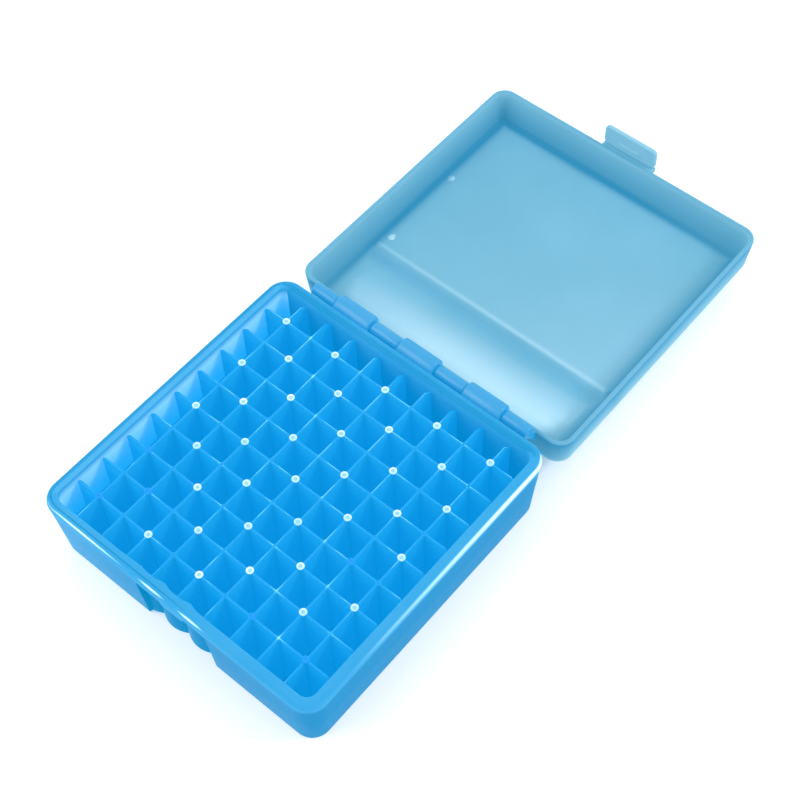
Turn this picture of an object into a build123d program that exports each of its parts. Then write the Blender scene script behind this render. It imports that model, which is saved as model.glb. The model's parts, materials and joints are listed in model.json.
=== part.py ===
from build123d import *
import math
import os

# Hinged 100-place tube storage rack, modelled open with its lid folded back flat.
# Units are millimetres. X runs along the hinge, +Y points from the tray towards the lid, +Z is up.
# The origin is the centre of the tray's underside.

# ---- driving dimensions: tray ----
CELLS_X = 10                    # cells along X
CELLS_Y = 10                    # cells along Y
PITCH = 13.3                    # centre to centre of neighbouring cells
EDGE_TRIM = 1.3                 # the outermost cells are this much narrower than a pitch
CORNER_MARGIN = 0.2             # straight wall kept beside each rounded corner
PARTITION = 0.9                 # thickness of a partition
TRAY_HEIGHT = 34.5              # underside to rim
TRAY_DRAFT = 2.3                # how far each outer wall leans in from rim to underside
TRAY_CORNER = 9.0               # outer corner radius at the rim
BASE_CORNER = 8.1               # outer corner radius at the underside
RIM_WIDTH = 4.8                 # width of the flat rim
FLOOR = 1.6                     # floor thickness
GRID_DROP = 2.4                 # partition tops lie this far below the rim
END_NOTCH = 3.1                 # bevel on the rear end of each lengthwise partition
SIDE_NOTCH = 1.9                # bevel on both ends of each crosswise partition

# ---- driving dimensions: crossing pads ----
PAD_RADIUS = 1.6
PAD_HEIGHT = 0.3
PAD_DIMPLE_RADIUS = 0.7
PAD_DIMPLE_DEPTH = 0.15

# ---- driving dimensions: finger recess and catch in the front wall ----
RECESS_CELLS = 1.35             # half width of the recess, in cells
RECESS_TOP = 6.0                # height of wall left between the recess and the rim
FLUTE_WALL = 1.5                # thickness of the fluted wall
FLUTE_REACH = 3.6               # from the rim's front edge back to the crest of a flute
FLUTE_RADIUS = 12.0             # outer radius of one flute
CATCH_WIDTH = 12.0
CATCH_HEIGHT = 3.0

# ---- driving dimensions: hinge ----
AXIS_OUT = 4.2                  # hinge axis beyond the rim's rear edge
AXIS_DROP = 3.8                 # hinge axis below the rim
BARREL_COUNT = 3
BARREL_RADIUS = 4.45
BARREL_LENGTH = 18.6
BARREL_SPACING = 34.0
KNUCKLE_RADIUS = 2.8
KNUCKLE_GAP = 0.4               # end play between a knuckle and a barrel
OUTER_KNUCKLE = 12.5            # length of the two end knuckles
STUB_RADIUS = 1.6
STUB_LENGTH = 4.0
STUB_CLEARANCE = 0.08           # radial running clearance of a stub in its bore
BORE_END = 0.5                  # spare depth behind a stub
WEB_TOP = 1.5                   # barrel web, from this far above the axis
WEB_FOOT = 9.0                  # down to this far below it on the tray wall
ARM_TOP = 0.7                   # knuckle arm meets the lid wall this far below the lid rim
ARM_FOOT = 6.0                  # and runs down to here
ARM_COS = 0.8                   # the arm leaves the knuckle square across this direction
ARM_SIN = 0.6

# ---- driving dimensions: lid ----
LID_DEPTH = 17.0                # rim to outer face
LID_DRAFT = 1.0                 # how far each outer wall leans in towards the outer face
LID_CORNER = 7.1
LID_WALL = 1.8                  # wall thickness at the rim
LID_INNER_DRAFT = 1.8           # how far the inner faces lean in from the rim to the panel
PANEL = 1.8                     # panel thickness
SEAM = 0.3                      # gap between the two rims when the lid is shut
TROUGH_WIDTH = 36.0             # shallow trough beside the hinge, across the lid
TROUGH_DEPTH = 0.8
TROUGH_END = 5.5                # trough stops this far from the inner side faces
TROUGH_BACK = 1.5               # and this far from the inner rear face
TROUGH_CORNER = 13.0
RIDGE_WIDTH = 1.6
RIDGE_HEIGHT = 0.5

# ---- driving dimensions: latch ----
TAB_WIDTH = 27.0
TAB_HEIGHT = 10.5               # above the lid rim
TAB_THICKNESS = 2.0
TAB_CORNER = 2.3
RIB_LENGTH = 11.7
RIB_HEIGHT = 0.8                # how far the snap rib stands off the tab
RIB_LEVEL = 4.4                 # rib centre above the lid rim
RIB_THICKNESS = 1.4             # ramp below the rib's crest
RIB_FLAT = 0.7                  # flat along the rib's crest
TAB_CLEARANCE = 0.3             # between the snap rib and the tray rim as the lid swings
ROOT_DROP = 4.0                 # root of the tab runs this far below the lid rim
ROOT_GAP = 0.3                  # slit between root and tab, where the plastic bends

# ---- places worked out from the sizes above ----
INNER_X = CELLS_X * PITCH / 2 - EDGE_TRIM
INNER_Y = CELLS_Y * PITCH / 2 - EDGE_TRIM
HALF_X = INNER_X + RIM_WIDTH
HALF_Y = INNER_Y + RIM_WIDTH
INNER_CORNER = TRAY_CORNER - RIM_WIDTH
CORNER_BLOCK = max(TRAY_CORNER, BASE_CORNER + TRAY_DRAFT) + CORNER_MARGIN
GRID_TOP = TRAY_HEIGHT - GRID_DROP
GRID_HEIGHT = GRID_TOP - FLOOR
AXIS_Y = HALF_Y + AXIS_OUT
AXIS_Z = TRAY_HEIGHT - AXIS_DROP
LID_RIM_Z = 2 * AXIS_Z - TRAY_HEIGHT - SEAM
LID_PANEL_Z = LID_RIM_Z - LID_DEPTH
LID_BACK_Y = AXIS_Y + AXIS_OUT
LID_Y = LID_BACK_Y + HALF_Y
LID_FRONT_Y = LID_BACK_Y + 2 * HALF_Y
LID_BLOCK = LID_CORNER + LID_DRAFT + CORNER_MARGIN
RECESS_HALF = RECESS_CELLS * PITCH
FLUTE_CREST = -HALF_Y + FLUTE_REACH
FLUTE_CENTRE = FLUTE_CREST + FLUTE_RADIUS
FLUTE_PINCH = FLUTE_CENTRE - math.sqrt((FLUTE_RADIUS - FLUTE_WALL) ** 2 - (PITCH / 2) ** 2)
FLUTE_TOP = TRAY_HEIGHT - RECESS_TOP
TAB_INNER_Y = LID_FRONT_Y + TAB_CLEARANCE + RIB_HEIGHT
TAB_OUTER_Y = TAB_INNER_Y + TAB_THICKNESS

nodes = {}


def block(x0, x1, y0, y1, z0, z1):
    """Box between two opposite corners."""
    size = (x1 - x0, y1 - y0, z1 - z0)
    return Pos((x0 + x1) / 2, (y0 + y1) / 2, (z0 + z1) / 2) * Box(*size)


def tapered_block(bottom, top, z0, z1, centre_y=0.0):
    """Loft between two rounded rectangles, each given as (half x, half y, corner radius)."""
    lower = Pos(0, centre_y, z0) * RectangleRounded(2 * bottom[0], 2 * bottom[1], bottom[2])
    upper = Pos(0, centre_y, z1) * RectangleRounded(2 * top[0], 2 * top[1], top[2])
    return loft([lower, upper])


def rod(radius, x0, x1, y, z):
    """Cylinder along X."""
    return Pos((x0 + x1) / 2, y, z) * Rot(0, 90, 0) * Cylinder(radius, x1 - x0)


def side_extrusion(points, x0, x1):
    """Closed outline in Y and Z, extruded along X."""
    face = make_face(Polyline([(0, y, z) for y, z in points], close=True))
    return Pos(x0, 0, 0) * extrude(face, amount=x1 - x0, dir=(1, 0, 0))


def split_walls(ring, name, half_x, half_y, centre_y, corner):
    """Cut a rectangular ring into four straight walls and four corner posts."""
    margin = RIM_WIDTH
    x0, x1 = -half_x + corner, half_x - corner
    y0, y1 = centre_y - half_y + corner, centre_y + half_y - corner
    z0, z1 = -margin, TRAY_HEIGHT + margin
    far_x = half_x + margin
    near_y, far_y = centre_y - half_y - margin, centre_y + half_y + margin
    nodes[name + "_wall_front"] = ring & block(x0, x1, near_y, y0, z0, z1)
    nodes[name + "_wall_rear"] = ring & block(x0, x1, y1, far_y, z0, z1)
    nodes[name + "_wall_left"] = ring & block(-far_x, x0, y0, y1, z0, z1)
    nodes[name + "_wall_right"] = ring & block(x1, far_x, y0, y1, z0, z1)
    nodes[name + "_corner_front_left"] = ring & block(-far_x, x0, near_y, y0, z0, z1)
    nodes[name + "_corner_front_right"] = ring & block(x1, far_x, near_y, y0, z0, z1)
    nodes[name + "_corner_rear_left"] = ring & block(-far_x, x0, y1, far_y, z0, z1)
    nodes[name + "_corner_rear_right"] = ring & block(x1, far_x, y1, far_y, z0, z1)


# ---- tray shell ----
base_outline = (HALF_X - TRAY_DRAFT, HALF_Y - TRAY_DRAFT, BASE_CORNER)
rim_outline = (HALF_X, HALF_Y, TRAY_CORNER)
inner_outline = (INNER_X, INNER_Y, INNER_CORNER)
tray_outer = tapered_block(base_outline, rim_outline, 0, TRAY_HEIGHT)
tray_hollow = tapered_block(inner_outline, inner_outline, 0, TRAY_HEIGHT)
split_walls(tray_outer - tray_hollow, "tray", HALF_X, HALF_Y, 0, CORNER_BLOCK)


# ---- finger recess: the front wall steps back and follows the cells in upright flutes ----
def flute_discs(radius):
    """Discs side by side, one centred on each cell that the recess passes."""
    reach = math.ceil(RECESS_CELLS)
    return Sketch() + [
        Pos((k + 0.5) * PITCH, FLUTE_CENTRE) * Circle(radius) for k in range(-reach, reach)
    ]


flute_front = extrude(flute_discs(FLUTE_RADIUS), amount=FLUTE_TOP)
flute_back = extrude(flute_discs(FLUTE_RADIUS - FLUTE_WALL), amount=FLUTE_TOP)
flute_window = block(-RECESS_HALF, RECESS_HALF, -HALF_Y, FLUTE_CENTRE, 0, FLUTE_TOP)
recess_air = flute_window - flute_back
flute_strip = block(-RECESS_HALF, RECESS_HALF, -HALF_Y, FLUTE_PINCH, 0, FLUTE_TOP)
flute_wall = flute_strip & (flute_front - flute_back)
shelf = block(-RECESS_HALF, RECESS_HALF, -INNER_Y, 0, FLUTE_TOP, FLUTE_TOP + FLUTE_WALL) & block(
    -RECESS_HALF, RECESS_HALF, -HALF_Y, FLUTE_PINCH, FLUTE_TOP, FLUTE_TOP + FLUTE_WALL
)
shelf -= extrude(flute_discs(FLUTE_RADIUS - FLUTE_WALL), amount=TRAY_HEIGHT)
nodes["tray_finger_flutes"] = flute_wall + shelf

front_wall = nodes.pop("tray_wall_front")
WALL_END = HALF_X - CORNER_BLOCK
nodes["tray_wall_front_left"] = front_wall & block(
    -WALL_END, -RECESS_HALF, -HALF_Y, 0, 0, TRAY_HEIGHT
)
nodes["tray_wall_front_right"] = front_wall & block(
    RECESS_HALF, WALL_END, -HALF_Y, 0, 0, TRAY_HEIGHT
)
nodes["tray_rim_bridge"] = front_wall & block(
    -RECESS_HALF, RECESS_HALF, -HALF_Y, 0, FLUTE_TOP, TRAY_HEIGHT
)
catch_front = -HALF_Y + TRAY_DRAFT * (RECESS_TOP + CATCH_HEIGHT) / TRAY_HEIGHT
nodes["front_catch"] = (
    block(
        -CATCH_WIDTH / 2,
        CATCH_WIDTH / 2,
        catch_front,
        FLUTE_CENTRE,
        FLUTE_TOP - CATCH_HEIGHT,
        FLUTE_TOP,
    )
    - flute_front
)

# ---- tray floor ----
floor_outline = RectangleRounded(2 * INNER_X, 2 * INNER_Y, INNER_CORNER)
nodes["tray_floor"] = extrude(floor_outline, amount=FLOOR) - recess_air

# ---- partitions: the two sets lap each other at half height ----
LINES_X = [(k - CELLS_X / 2) * PITCH for k in range(1, CELLS_X)]
LINES_Y = [(k - CELLS_Y / 2) * PITCH for k in range(1, CELLS_Y)]
LAP_Z = FLOOR + GRID_HEIGHT / 2
half_thick = PARTITION / 2
upper_laps = Part() + [
    block(-INNER_X, INNER_X, y - half_thick, y + half_thick, LAP_Z, GRID_TOP) for y in LINES_Y
]
lower_laps = Part() + [
    block(x - half_thick, x + half_thick, -INNER_Y, INNER_Y, FLOOR, LAP_Z) for x in LINES_X
]
rear_bevel = side_extrusion(
    [
        (INNER_Y - END_NOTCH, GRID_TOP),
        (INNER_Y, GRID_TOP - END_NOTCH),
        (INNER_Y + END_NOTCH, GRID_TOP),
    ],
    -INNER_X,
    INNER_X,
)
right_bevel = Rot(0, 0, -90) * side_extrusion(
    [
        (INNER_X - SIDE_NOTCH, GRID_TOP),
        (INNER_X, GRID_TOP - SIDE_NOTCH),
        (INNER_X + SIDE_NOTCH, GRID_TOP),
    ],
    -INNER_Y,
    INNER_Y,
)
side_bevels = right_bevel + mirror(right_bevel, about=Plane.YZ)
for number, x in enumerate(LINES_X, start=1):
    sheet = block(x - half_thick, x + half_thick, -INNER_Y, INNER_Y, FLOOR, GRID_TOP)
    nodes[f"partition_lengthwise_{number}"] = sheet - upper_laps - rear_bevel - recess_air - shelf
for number, y in enumerate(LINES_Y, start=1):
    sheet = block(-INNER_X, INNER_X, y - half_thick, y + half_thick, FLOOR, GRID_TOP)
    nodes[f"partition_crosswise_{number}"] = sheet - lower_laps - side_bevels

# ---- small round pads on every second crossing ----
pad = Pos(0, 0, GRID_TOP + PAD_HEIGHT / 2) * Cylinder(PAD_RADIUS, PAD_HEIGHT)
pad -= Pos(0, 0, GRID_TOP + PAD_HEIGHT - PAD_DIMPLE_DEPTH / 2) * Cylinder(
    PAD_DIMPLE_RADIUS, PAD_DIMPLE_DEPTH
)
nodes["crossing_pads"] = Compound(
    [
        Pos(x, y, 0) * pad
        for i, x in enumerate(LINES_X)
        for j, y in enumerate(LINES_Y)
        if (i + j) % 2 == 0
    ]
)


# ---- hinge: three barrels on the tray, four knuckles with end stubs on the lid ----
def barrel(centre_x):
    """Barrel with a blind bore in each end, and the web that ties it to the rear wall."""
    x0, x1 = centre_x - BARREL_LENGTH / 2, centre_x + BARREL_LENGTH / 2
    bore = STUB_LENGTH + BORE_END
    web = side_extrusion(
        [
            (HALF_Y - TRAY_DRAFT, AXIS_Z + WEB_TOP),
            (AXIS_Y, AXIS_Z + WEB_TOP),
            (AXIS_Y, AXIS_Z - KNUCKLE_RADIUS),
            (HALF_Y - TRAY_DRAFT, AXIS_Z - WEB_FOOT),
        ],
        x0,
        x1,
    )
    body = rod(BARREL_RADIUS, x0, x1, AXIS_Y, AXIS_Z) + web - tray_outer
    body -= rod(STUB_RADIUS + STUB_CLEARANCE, x0, x0 + bore, AXIS_Y, AXIS_Z)
    body -= rod(STUB_RADIUS + STUB_CLEARANCE, x1 - bore, x1, AXIS_Y, AXIS_Z)
    return body


def knuckle(x0, x1, stub_left, stub_right):
    """Knuckle and its arm down to the lid, with a stub that turns in each neighbouring barrel."""
    arm = side_extrusion(
        [
            (AXIS_Y - KNUCKLE_RADIUS * ARM_SIN, AXIS_Z - KNUCKLE_RADIUS * ARM_COS),
            (AXIS_Y + KNUCKLE_RADIUS * ARM_COS, AXIS_Z - KNUCKLE_RADIUS * ARM_SIN),
            (LID_BACK_Y, LID_RIM_Z - ARM_TOP),
            (LID_BACK_Y + LID_DRAFT, LID_RIM_Z - ARM_TOP),
            (LID_BACK_Y + LID_DRAFT, LID_RIM_Z - ARM_FOOT),
            (LID_BACK_Y, LID_RIM_Z - ARM_FOOT),
        ],
        x0,
        x1,
    )
    body = rod(KNUCKLE_RADIUS, x0, x1, AXIS_Y, AXIS_Z) + arm - lid_outer
    if stub_left:
        body += rod(STUB_RADIUS, x0 - KNUCKLE_GAP - STUB_LENGTH, x0, AXIS_Y, AXIS_Z)
    if stub_right:
        body += rod(STUB_RADIUS, x1, x1 + KNUCKLE_GAP + STUB_LENGTH, AXIS_Y, AXIS_Z)
    return body


# ---- lid shell ----
lid_outer = tapered_block(
    (HALF_X - LID_DRAFT, HALF_Y - LID_DRAFT, LID_CORNER),
    (HALF_X, HALF_Y, LID_CORNER),
    LID_PANEL_Z,
    LID_RIM_Z,
    LID_Y,
)
inner_low = LID_WALL + LID_INNER_DRAFT
lid_cavity = tapered_block(
    (HALF_X - inner_low, HALF_Y - inner_low, LID_CORNER - LID_WALL),
    (HALF_X - LID_WALL, HALF_Y - LID_WALL, LID_CORNER - LID_WALL),
    LID_PANEL_Z + PANEL,
    LID_RIM_Z,
    LID_Y,
)
panel_slab = block(
    -HALF_X, HALF_X, LID_BACK_Y, LID_FRONT_Y, LID_PANEL_Z, LID_PANEL_Z + PANEL
)
split_walls(lid_outer - lid_cavity - panel_slab, "lid", HALF_X, HALF_Y, LID_Y, LID_BLOCK)

trough_half = HALF_X - inner_low - TROUGH_END
trough_y = LID_BACK_Y + inner_low + TROUGH_BACK + TROUGH_WIDTH / 2
trough = Pos(0, trough_y, LID_PANEL_Z + PANEL - TROUGH_DEPTH) * extrude(
    RectangleRounded(2 * trough_half, TROUGH_WIDTH, TROUGH_CORNER), amount=TROUGH_DEPTH
)
ridge_y = trough_y + TROUGH_WIDTH / 2 + RIDGE_WIDTH / 2
ridge = block(
    -trough_half,
    trough_half,
    ridge_y - RIDGE_WIDTH / 2,
    ridge_y + RIDGE_WIDTH / 2,
    LID_PANEL_Z + PANEL,
    LID_PANEL_Z + PANEL + RIDGE_HEIGHT,
)
nodes["lid_panel"] = (lid_outer & panel_slab) - trough + ridge

# ---- hinge parts in place ----
barrel_places = [(k - (BARREL_COUNT - 1) / 2) * BARREL_SPACING for k in range(BARREL_COUNT)]
for number, place in enumerate(barrel_places, start=1):
    nodes[f"hinge_barrel_{number}"] = barrel(place)
gap_start = BARREL_LENGTH / 2 + KNUCKLE_GAP
for number in range(BARREL_COUNT + 1):
    first, last = number == 0, number == BARREL_COUNT
    left = barrel_places[0] - gap_start - OUTER_KNUCKLE if first else barrel_places[number - 1] + gap_start
    right = barrel_places[-1] + gap_start + OUTER_KNUCKLE if last else barrel_places[number] - gap_start
    nodes[f"hinge_knuckle_{number + 1}"] = knuckle(left, right, not first, not last)

# ---- latch: root on the lid's front wall, tab that bends at the slit above it ----
nodes["latch_root"] = (
    side_extrusion(
        [
            (LID_FRONT_Y - LID_DRAFT, LID_RIM_Z - ROOT_GAP / 2),
            (TAB_OUTER_Y, LID_RIM_Z - ROOT_GAP / 2),
            (TAB_OUTER_Y, LID_RIM_Z - ROOT_DROP / 2),
            (LID_FRONT_Y - LID_DRAFT, LID_RIM_Z - ROOT_DROP),
        ],
        -TAB_WIDTH / 2,
        TAB_WIDTH / 2,
    )
    - lid_outer
)
tab = block(
    -TAB_WIDTH / 2,
    TAB_WIDTH / 2,
    TAB_INNER_Y,
    TAB_OUTER_Y,
    LID_RIM_Z + ROOT_GAP / 2,
    LID_RIM_Z + TAB_HEIGHT,
)
tab_top_corners = tab.edges().filter_by(Axis.Y).group_by(Axis.Z)[-1]
nodes["latch_tab"] = fillet(tab_top_corners, TAB_CORNER)
rib_z = LID_RIM_Z + RIB_LEVEL
nodes["latch_rib"] = side_extrusion(
    [
        (TAB_INNER_Y, rib_z - RIB_THICKNESS),
        (TAB_INNER_Y - RIB_HEIGHT, rib_z - RIB_FLAT / 2),
        (TAB_INNER_Y - RIB_HEIGHT, rib_z + RIB_FLAT / 2),
        (TAB_INNER_Y, rib_z + RIB_THICKNESS / 2),
    ],
    -RIB_LENGTH / 2,
    RIB_LENGTH / 2,
)

os.makedirs("parts", exist_ok=True)
for name, shape in nodes.items():
    export_step(shape, f"parts/{name}.step")
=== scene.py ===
import json
import math

import bmesh
import bpy
import numpy as np
from mathutils import Matrix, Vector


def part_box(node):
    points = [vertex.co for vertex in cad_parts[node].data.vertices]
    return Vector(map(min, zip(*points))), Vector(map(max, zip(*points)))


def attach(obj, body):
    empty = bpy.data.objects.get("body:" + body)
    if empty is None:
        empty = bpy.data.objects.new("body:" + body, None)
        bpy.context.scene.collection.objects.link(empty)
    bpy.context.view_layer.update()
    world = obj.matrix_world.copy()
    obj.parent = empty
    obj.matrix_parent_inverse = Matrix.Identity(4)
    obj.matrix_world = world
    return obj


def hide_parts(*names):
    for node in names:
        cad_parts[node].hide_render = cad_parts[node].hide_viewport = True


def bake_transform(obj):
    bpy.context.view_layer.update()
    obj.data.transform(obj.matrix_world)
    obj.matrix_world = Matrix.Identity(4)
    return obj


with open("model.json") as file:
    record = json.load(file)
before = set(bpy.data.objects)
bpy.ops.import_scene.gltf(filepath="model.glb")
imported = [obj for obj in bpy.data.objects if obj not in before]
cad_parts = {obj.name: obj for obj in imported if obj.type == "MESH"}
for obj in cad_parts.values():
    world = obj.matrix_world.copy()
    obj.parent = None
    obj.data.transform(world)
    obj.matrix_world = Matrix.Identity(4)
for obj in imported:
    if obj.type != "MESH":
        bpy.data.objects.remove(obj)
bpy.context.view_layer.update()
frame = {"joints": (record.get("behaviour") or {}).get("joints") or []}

MM = 0.001

# ---- sizes read from the frame ----
bridge_low, bridge_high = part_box("tray_rim_bridge")
crosswise_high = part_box("partition_crosswise_1")[1]
lengthwise_low, lengthwise_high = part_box("partition_lengthwise_1")
RIM_Z = bridge_high.z
HALF_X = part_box("tray_wall_right")[1].x
HALF_Y = -bridge_low.y
INNER_X = crosswise_high.x
INNER_Y = lengthwise_high.y
GRID_TOP = crosswise_high.z
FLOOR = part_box("tray_floor")[1].z
PAD_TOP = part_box("crossing_pads")[1].z
LID_LOW_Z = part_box("lid_panel")[0].z
LID_RIM_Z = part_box("lid_wall_left")[1].z
LID_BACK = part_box("lid_wall_front")[0].y
LID_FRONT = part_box("lid_wall_rear")[1].y
RECESS_HALF = bridge_high.x
RECESS_TOP = bridge_low.z
HALF_SHEET = (lengthwise_high.x - lengthwise_low.x) / 2


def partition_nodes(way):
    """Names of the partitions that run one way, in order."""
    return [f"partition_{way}_{k}" for k in range(1, 10)]


def middles(names, axis):
    """Sorted middles of the nodes' boxes along one axis."""
    return sorted(sum(corner[axis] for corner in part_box(name)) / 2 for name in names)


def joint_place(name):
    """A point on the named joint's axis, in metres."""
    return next(joint for joint in frame["joints"] if joint["name"] == name)["pos_m"]


LINES_X = middles(partition_nodes("lengthwise"), 0)
LINES_Y = middles(partition_nodes("crosswise"), 1)
PITCH = LINES_X[1] - LINES_X[0]
AXIS = joint_place("lid_hinge")
LATCH_AXIS = joint_place("latch_flex")

# ---- moulding details ----
PAD_RADIUS = 1.6 * MM
TRAY_DRAFT = 2.3 * MM
TRAY_CORNER = 9.0 * MM
BASE_CORNER = 8.1 * MM
LID_CORNER = 7.1 * MM
FLUTE_WALL = 1.5 * MM
FLUTE_RADIUS = 12.0 * MM
FLUTE_REACH = 3.6 * MM
FLUTE_CENTRE = -HALF_Y + FLUTE_REACH + FLUTE_RADIUS
SHELF = 0.8 * MM
REAR_BEVEL = 3.1 * MM
SIDE_BEVEL = 1.9 * MM


# ---- meshes ----
MERGE = 2e-6                    # points nearer than this many metres become one
DEGENERATE = 1e-7               # edges shorter than this are dissolved


def mesh_piece(name, points, faces, sharp=35.0, tone=None):
    """Object at the origin from an (n, 3) array of points in metres, with doubles merged, faces turned
    outwards and edges above the sharp angle kept crisp. tone is stored for every point."""
    mesh = bpy.data.meshes.new(name)
    mesh.from_pydata(np.asarray(points, float).reshape(-1, 3).tolist(), [], [list(f) for f in faces])
    layer = mesh.attributes.new("tone", "FLOAT", "POINT")
    shade = np.zeros(len(mesh.vertices)) if tone is None else np.asarray(tone)
    layer.data.foreach_set("value", shade.astype(np.float32).ravel())
    work = bmesh.new()
    work.from_mesh(mesh)
    bmesh.ops.remove_doubles(work, verts=work.verts, dist=MERGE)
    bmesh.ops.dissolve_degenerate(work, edges=work.edges, dist=DEGENERATE)
    bmesh.ops.recalc_face_normals(work, faces=work.faces)
    for face in work.faces:
        face.smooth = True
    work.to_mesh(mesh)
    work.free()
    mesh.set_sharp_from_angle(angle=math.radians(sharp))
    piece = bpy.data.objects.new(name, mesh)
    bpy.context.scene.collection.objects.link(piece)
    return piece


def grid_faces(rows, columns, start=0, wrap_columns=False):
    """Quads of a rows x columns grid of points numbered row by row from start."""
    i = np.arange(rows - 1)[:, None]
    j = np.arange(columns if wrap_columns else columns - 1)[None, :]
    i2, j2 = i + 1, (j + 1) % columns
    corners = [i * columns + j, i * columns + j2, i2 * columns + j2, i2 * columns + j]
    return (np.stack([c.ravel() for c in corners], 1) + start).tolist()


def step(t):
    """Smooth step 3t^2 - 2t^3 of t held between 0 and 1."""
    t = np.clip(t, 0.0, 1.0)
    return t * t * (3 - 2 * t)


def knots(straight, corner_steps=8):
    """Straight knots within [-1, 1] with corner knots out to -2 and 2 on either side."""
    corner = 1 + np.arange(1, corner_steps + 1) / corner_steps
    return np.concatenate([-corner[::-1], np.sort(np.asarray(straight, float)), corner])


def rounded(kx, ky, half_x, half_y, radius, core_x, core_y):
    """Maps knots to a rounded rectangle. Up to 1 a knot k runs along the straight side, at
    k core + k^3 (half - radius - core); beyond 1, u = |k| - 1 turns the corner, at
    half - radius + radius u sqrt(1 - v^2 / 2), v being the other direction's u."""
    u, v = np.clip(np.abs(kx) - 1, 0, 1), np.clip(np.abs(ky) - 1, 0, 1)
    sx, sy = np.clip(kx, -1, 1), np.clip(ky, -1, 1)
    x = sx * core_x + sx**3 * (half_x - radius - core_x)
    y = sy * core_y + sy**3 * (half_y - radius - core_y)
    x = x + np.sign(kx) * radius * u * np.sqrt(1 - v * v / 2)
    y = y + np.sign(ky) * radius * v * np.sqrt(1 - u * u / 2)
    return x, y


def rounded_distance(x, y, half_x, half_y, radius):
    """Signed distance to a rounded rectangle about the origin, negative inside."""
    dx = np.abs(x) - half_x + radius
    dy = np.abs(y) - half_y + radius
    return np.hypot(np.maximum(dx, 0), np.maximum(dy, 0)) + np.minimum(np.maximum(dx, dy), 0) - radius


def arc(centre, radius, start, end, steps):
    """Points (offset, z) of an arc in a wall's section, angles in degrees from outwards to up."""
    angle = np.radians(np.linspace(start, end, steps + 1))
    return [(centre[0] + radius * math.cos(a), centre[1] + radius * math.sin(a)) for a in angle]


def shell(name, kx, ky, sections, core, centre_y, top, bend=None, tone=None):
    """Closed shell in one skin. sections lists (half_x, half_y, radius, z) from the edge of the inner
    panel, up over the rim and down to the edge of the outer panel. Both panels are kx x ky grids whose
    edges are the first and last loops. top(x, y) lifts the inner panel. bend moves the loops' points."""
    nx, ny = len(kx), len(ky)
    gx, gy = np.meshgrid(kx, ky, indexing="ij")
    ids = np.arange(nx * ny).reshape(nx, ny)
    edge = np.concatenate([ids[:-1, 0], ids[-1, :-1], ids[:0:-1, -1], ids[0, :0:-1]])
    ex, ey = gx.ravel()[edge], gy.ravel()[edge]

    def place(k1, k2, section):
        x, y = rounded(k1, k2, section[0], section[1], section[2], *core)
        p = np.stack([x, y + centre_y, np.full_like(x, section[3])], -1)
        return p if bend is None else bend(p, section)

    inner = place(gx, gy, sections[0]).reshape(-1, 3)
    inner[:, 2] += top(inner[:, 0], inner[:, 1])
    loops = np.stack([place(ex, ey, s) for s in sections[1:-1]], 0)
    outer = place(gx, gy, sections[-1]).reshape(-1, 3)
    n, m = len(inner), len(edge)
    faces = grid_faces(nx, ny)
    faces += grid_faces(len(loops), m, start=n, wrap_columns=True)
    last = n + loops.shape[0] * m
    faces += grid_faces(nx, ny, start=last)
    a = np.arange(m)
    b = (a + 1) % m
    faces += np.stack([edge[a], edge[b], n + b, n + a], 1).tolist()
    low = last - m
    faces += np.stack([low + a, low + b, last + edge[b], last + edge[a]], 1).tolist()
    points = np.concatenate([inner, loops.reshape(-1, 3), outer])
    return mesh_piece(name, points, faces, tone=None if tone is None else tone(points))


def revolve(profile, steps):
    """Ring of points round Z: (r cos a, r sin a, z) for each (r, z) of the profile."""
    angle = np.linspace(0, 2 * np.pi, steps, endpoint=False)
    r, z = np.asarray(profile, float).T
    x = r[:, None] * np.cos(angle)
    y = r[:, None] * np.sin(angle)
    return np.stack([x, y, np.repeat(z[:, None], steps, 1)], -1)


def star_rod(name, axis, stations, angles):
    """Rod along X whose section is a star outline: at each station (x, radius for every angle) the skin
    lies at axis + radius (cos a, sin a) in Y and Z. Both ends close at a pole."""
    x = np.array([s[0] for s in stations])[:, None]
    radius = np.array([np.broadcast_to(s[1], angles.shape) for s in stations])
    y = axis[1] + radius * np.cos(angles)
    z = axis[2] + radius * np.sin(angles)
    points = np.stack([np.broadcast_to(x, y.shape), y, z], -1)
    return mesh_piece(name, points, grid_faces(len(stations), len(angles), wrap_columns=True))


def rounded_box(name, low, high, radius, steps=4):
    """Box with rounded edges: centre + sign(n) (half - radius) + radius n for unit directions n."""
    low, high = np.array(low), np.array(high)
    half = (high - low) / 2 - radius
    tilt = np.radians(np.concatenate([np.linspace(-90, 0, steps + 1), np.linspace(0, 90, steps + 1)]))
    lift = np.repeat([-1.0, 1.0], steps + 1)
    turn = np.radians(np.concatenate([np.linspace(q, q + 90, steps + 1) for q in (0, 90, 180, 270)]))
    side_x = np.repeat([1.0, -1.0, -1.0, 1.0], steps + 1)
    side_y = np.repeat([1.0, 1.0, -1.0, -1.0], steps + 1)
    x = half[0] * side_x + radius * np.cos(tilt)[:, None] * np.cos(turn)
    y = half[1] * side_y + radius * np.cos(tilt)[:, None] * np.sin(turn)
    z = np.broadcast_to((half[2] * lift + radius * np.sin(tilt))[:, None], x.shape)
    points = np.stack([x, y, z], -1) + (low + high) / 2
    rows, columns = points.shape[:2]
    faces = grid_faces(rows, columns, wrap_columns=True)
    faces += [list(range(columns)), list(range((rows - 1) * columns, rows * columns))]
    return mesh_piece(name, points, faces)


# ---- materials ----
def node(tree, kind, **values):
    """New node with its input sockets set by name."""
    made = tree.nodes.new(kind)
    for key, value in values.items():
        made.inputs[key.replace("_", " ")].default_value = value
    return made


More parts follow.
